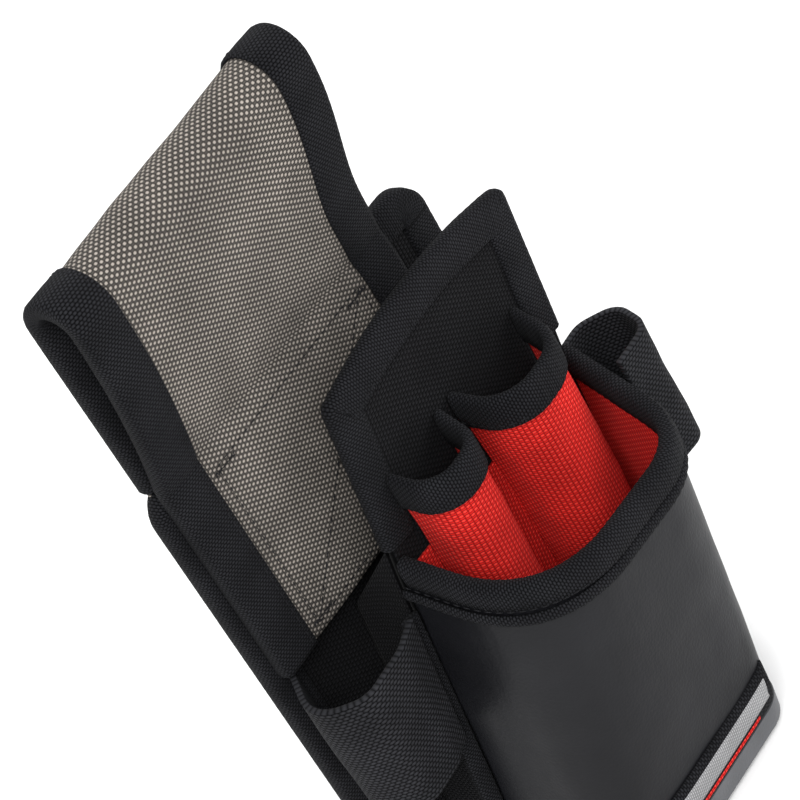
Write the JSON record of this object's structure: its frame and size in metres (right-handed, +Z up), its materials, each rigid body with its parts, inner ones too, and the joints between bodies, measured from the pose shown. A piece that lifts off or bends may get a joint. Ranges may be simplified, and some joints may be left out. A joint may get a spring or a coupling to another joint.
{
  "type": "electrician tool pouch",
  "caption": "Belt-hung fabric tool pouch with a folded belt flap, open main pocket, plier pocket, tool sleeves and webbing side loops.",
  "frame": {"origin": "middle of the belt tunnel, on the line of the belt", "axes": "+X along the belt to the right seen from the front, -Y out from the wearer, +Z up"},
  "size_m": [0.1714, 0.0922, 0.2893],
  "materials": {
    "grey_ballistic": "coarse ballistic weave",
    "black_ballistic": "coarse ballistic weave",
    "tunnel_lining": "plain weave",
    "binding_tape": "ribbed tape",
    "webbing": "heavy ribbed webbing",
    "red_fabric": "ballistic weave",
    "coated_fabric": "smooth coated fabric, satin",
    "boot_coating": "smooth coated fabric, satin",
    "foam": "closed-cell foam",
    "stiffener_board": "polyethylene board",
    "label_grey": "woven insert",
    "thread": "bonded thread"
  },
  "bodies": {
    "belt_flap": {"flap_outer_fabric": "grey_ballistic", "flap_foam": "foam", "flap_lining": "tunnel_lining", "flap_binding_left": "binding_tape", "flap_binding_right": "binding_tape"},
    "pouch": {"rear_pad": "black_ballistic", "back_panel_rear": "black_ballistic", "back_stiffener": "stiffener_board", "back_panel_front": "black_ballistic", "back_panel_binding": "binding_tape", "flap_anchor_patch": "grey_ballistic", "bar_tacks": "thread", "divider_panel": "black_ballistic", "divider_binding": "binding_tape", "divider_lining": "red_fabric", "left_gusset": "black_ballistic", "right_gusset": "black_ballistic", "screwdriver_sleeve": "red_fabric", "screwdriver_sleeve_binding": "binding_tape", "pen_sleeve": "red_fabric", "pen_sleeve_binding": "binding_tape", "main_pocket_shell": "coated_fabric", "main_pocket_lining": "red_fabric", "mouth_binding": "binding_tape", "mouth_piping": "binding_tape", "left_seam_binding": "binding_tape", "right_seam_binding": "binding_tape", "floor_board": "stiffener_board", "base_boot": "boot_coating", "label_strip": "black_ballistic", "label_band": "label_grey", "label_stripe": "red_fabric", "left_webbing_loop": "webbing", "right_webbing_loop": "webbing"}
  },
  "joints": [
    {"name": "pouch_swing", "type": "hinge", "parent": "belt_flap", "child": "pouch", "pos_m": [0, -0.0012, -0.0445], "axis": [-1, 0, 0], "range_deg": [0, 25]}
  ]
}
